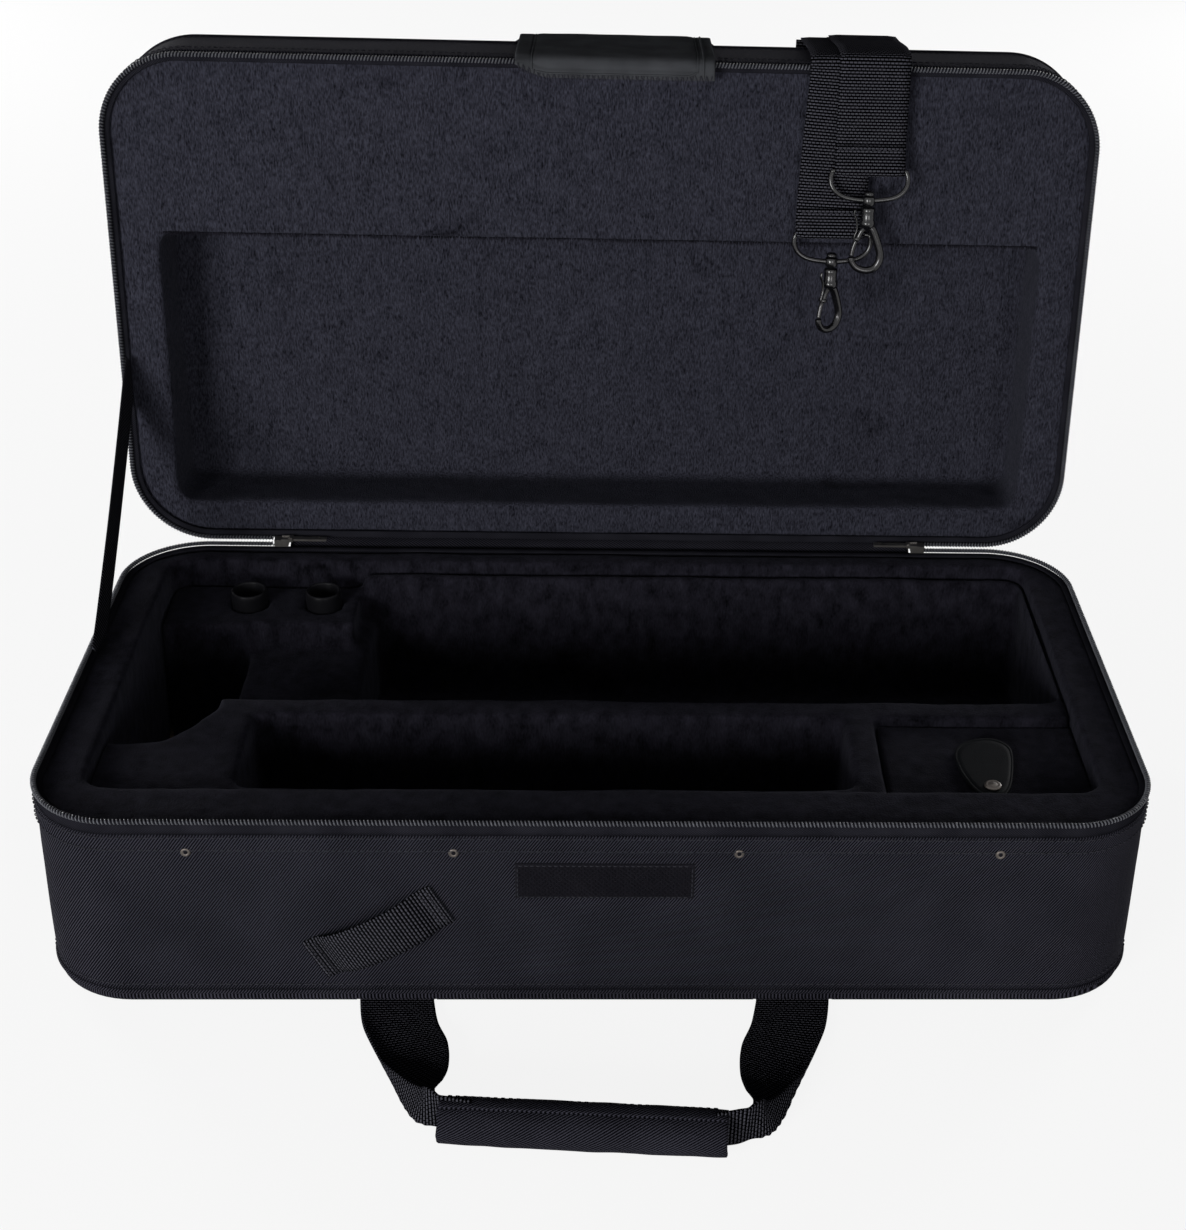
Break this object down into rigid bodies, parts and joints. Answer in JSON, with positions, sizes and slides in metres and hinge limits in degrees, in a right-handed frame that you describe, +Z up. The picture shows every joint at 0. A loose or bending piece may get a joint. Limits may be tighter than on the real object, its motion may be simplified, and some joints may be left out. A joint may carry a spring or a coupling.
{
  "type": "trumpet case",
  "caption": "Soft-sided zippered case, shown open: twill shell, plush lining with fitted pockets, leaning lid, carry handles and a shoulder strap with snap hooks.",
  "frame": {"origin": "on the floor, under the middle of the base's flat underside", "axes": "+X to the right along the case's long side, +Y to the back where the lid is hinged, +Z up"},
  "size_m": [0.5486, 0.4835, 0.3925],
  "materials": {
    "twill": "matte",
    "plush": "matte",
    "board": "matte",
    "webbing": "matte",
    "zipper_tape": "matte",
    "zipper_coil": "satin",
    "black_metal": "satin",
    "bright_metal": "satin",
    "leather": "satin",
    "black_plastic": "satin",
    "hook_loop": "matte",
    "padded_cloth": "satin"
  },
  "bodies": {
    "base": {"base_panel": "twill", "base_piping": "twill", "base_cover": "twill", "base_shell": "board", "base_zip_tape": "zipper_tape", "base_zip_coil": "zipper_coil", "base_rim_padding": "plush", "base_insert": "plush", "mouthpiece_holders": "black_plastic", "front_rivets": "bright_metal", "hook_loop_patch": "hook_loop", "front_loop": "webbing", "handle_tabs": "webbing", "ring_tabs": "webbing", "zip_sliders": "bright_metal", "hinge_gusset": "twill", "stay_strap": "webbing"},
    "lid": {"lid_panel": "twill", "lid_piping": "twill", "lid_cover": "twill", "lid_shell": "board", "lid_zip_tape": "zipper_tape", "lid_zip_coil": "zipper_coil", "lid_lining": "plush", "lid_handle_tabs": "webbing", "strap_left": "webbing", "strap_right": "webbing"},
    "small_lid": {"small_lid": "plush", "tab_root": "leather", "tab_rivet": "bright_metal"},
    "pull_tab": {"pull_tab": "leather"},
    "carry_handle": {"handle_web_left": "webbing", "handle_web_right": "webbing", "handle_grip": "twill"},
    "lid_handle": {"lid_handle_webs": "webbing", "lid_handle_wrap": "padded_cloth"},
    "wrap_flap": {"wrap_flap": "padded_cloth"},
    "strap_tail": {"strap_tail": "webbing", "strap_adjuster": "black_metal"},
    "ring_left": {"ring_left": "black_metal"},
    "ring_right": {"ring_right": "black_metal"},
    "hook_left": {"hook_left": "black_metal"},
    "hook_right": {"hook_right": "black_metal"},
    "gate_left": {"gate_left": "black_metal"},
    "gate_right": {"gate_right": "black_metal"},
    "zip_pull_left": {"zip_pull_left": "bright_metal"},
    "zip_pull_right": {"zip_pull_right": "bright_metal"},
    "d_ring_left": {"d_ring_left": "black_metal"},
    "d_ring_right": {"d_ring_right": "black_metal"}
  },
  "joints": [
    {"name": "lid_hinge", "type": "hinge", "parent": "base", "child": "lid", "pos_m": [0, 0.1398, 0.1081], "axis": [-1, 0, 0], "range_deg": [-93, 0], "deforming": ["hinge_gusset", "stay_strap"]},
    {"name": "small_lid_hinge", "type": "hinge", "parent": "base", "child": "small_lid", "pos_m": [0.194, -0.0303, 0.0926], "axis": [-1, 0, 0], "range_deg": [0, 90]},
    {"name": "tab_lift", "type": "hinge", "parent": "small_lid", "child": "pull_tab", "pos_m": [0.1955, -0.08185, 0.0949], "axis": [1, 0, 0], "range_deg": [0, 90]},
    {"name": "carry_handle_swing", "type": "hinge", "parent": "base", "child": "carry_handle", "pos_m": [0, -0.1385, 0.0012], "axis": [-1, 0, 0], "range_deg": [0, 60]},
    {"name": "lid_handle_swing", "type": "hinge", "parent": "lid", "child": "lid_handle", "pos_m": [0.005, 0.22202, 0.34274], "axis": [-1, 0, 0], "range_deg": [0, 90]},
    {"name": "wrap_flap_hang", "type": "hinge", "parent": "lid_handle", "child": "wrap_flap", "pos_m": [0.005, 0.15807, 0.38951], "axis": [-1, 0, 0], "range_deg": [0, 93]},
    {"name": "strap_tail_hang", "type": "hinge", "parent": "lid", "child": "strap_tail", "pos_m": [0.1345, 0.22567, 0.38418], "axis": [-1, 0, 0], "range_deg": [0, 3.8]},
    {"name": "ring_left_tilt", "type": "hinge", "parent": "lid", "child": "ring_left", "pos_m": [0.1255, 0.1511, 0.29667], "axis": [-1, 0, 0], "range_deg": [0, 6]},
    {"name": "ring_right_tilt", "type": "hinge", "parent": "lid", "child": "ring_right", "pos_m": [0.1435, 0.15188, 0.3322], "axis": [-1, 0, 0], "range_deg": [0, 60]},
    {"name": "hook_left_swivel", "type": "hinge", "parent": "ring_left", "child": "hook_left", "pos_m": [0.1255, 0.15001, 0.28111], "axis": [0, 0.0698, 0.9976], "range_deg": [-90, 45]},
    {"name": "hook_right_swivel", "type": "hinge", "parent": "ring_right", "child": "hook_right", "pos_m": [0.1435, 0.1468, 0.31745], "axis": [0, 0.0698, 0.9976], "range_deg": [0, 25]},
    {"name": "gate_left_lever", "type": "hinge", "parent": "hook_left", "child": "gate_left", "pos_m": [0.12067, 0.14435, 0.25815], "axis": [0.6428, -0.7642, 0.0534], "range_deg": [0, 20], "stiffness_Nm_per_rad": 0.004, "springref_deg": -28.65},
    {"name": "gate_right_lever", "type": "hinge", "parent": "hook_right", "child": "gate_right", "pos_m": [0.1372, 0.14518, 0.29421], "axis": [0, -0.9976, 0.0698], "range_deg": [0, 20], "stiffness_Nm_per_rad": 0.004, "springref_deg": -28.65},
    {"name": "zip_pull_left_lift", "type": "hinge", "parent": "base", "child": "zip_pull_left", "pos_m": [-0.1802, 0.1396, 0.1102], "axis": [0, -1, 0], "range_deg": [0, 80]},
    {"name": "zip_pull_right_lift", "type": "hinge", "parent": "base", "child": "zip_pull_right", "pos_m": [0.1802, 0.1396, 0.1102], "axis": [0, 1, 0], "range_deg": [0, 80]},
    {"name": "d_ring_left_swing", "type": "hinge", "parent": "base", "child": "d_ring_left", "pos_m": [-0.27145, 0.0205, 0.0605], "axis": [0, 1, 0], "range_deg": [0, 80]},
    {"name": "d_ring_right_swing", "type": "hinge", "parent": "base", "child": "d_ring_right", "pos_m": [0.27145, 0.0205, 0.0605], "axis": [0, -1, 0], "range_deg": [0, 80]}
  ],
  "couplings": [
    {"joint": "wrap_flap_hang", "follows": "lid_hinge", "ratio": -1},
    {"joint": "strap_tail_hang", "follows": "lid_hinge", "ratio": -0.04}
  ]
}
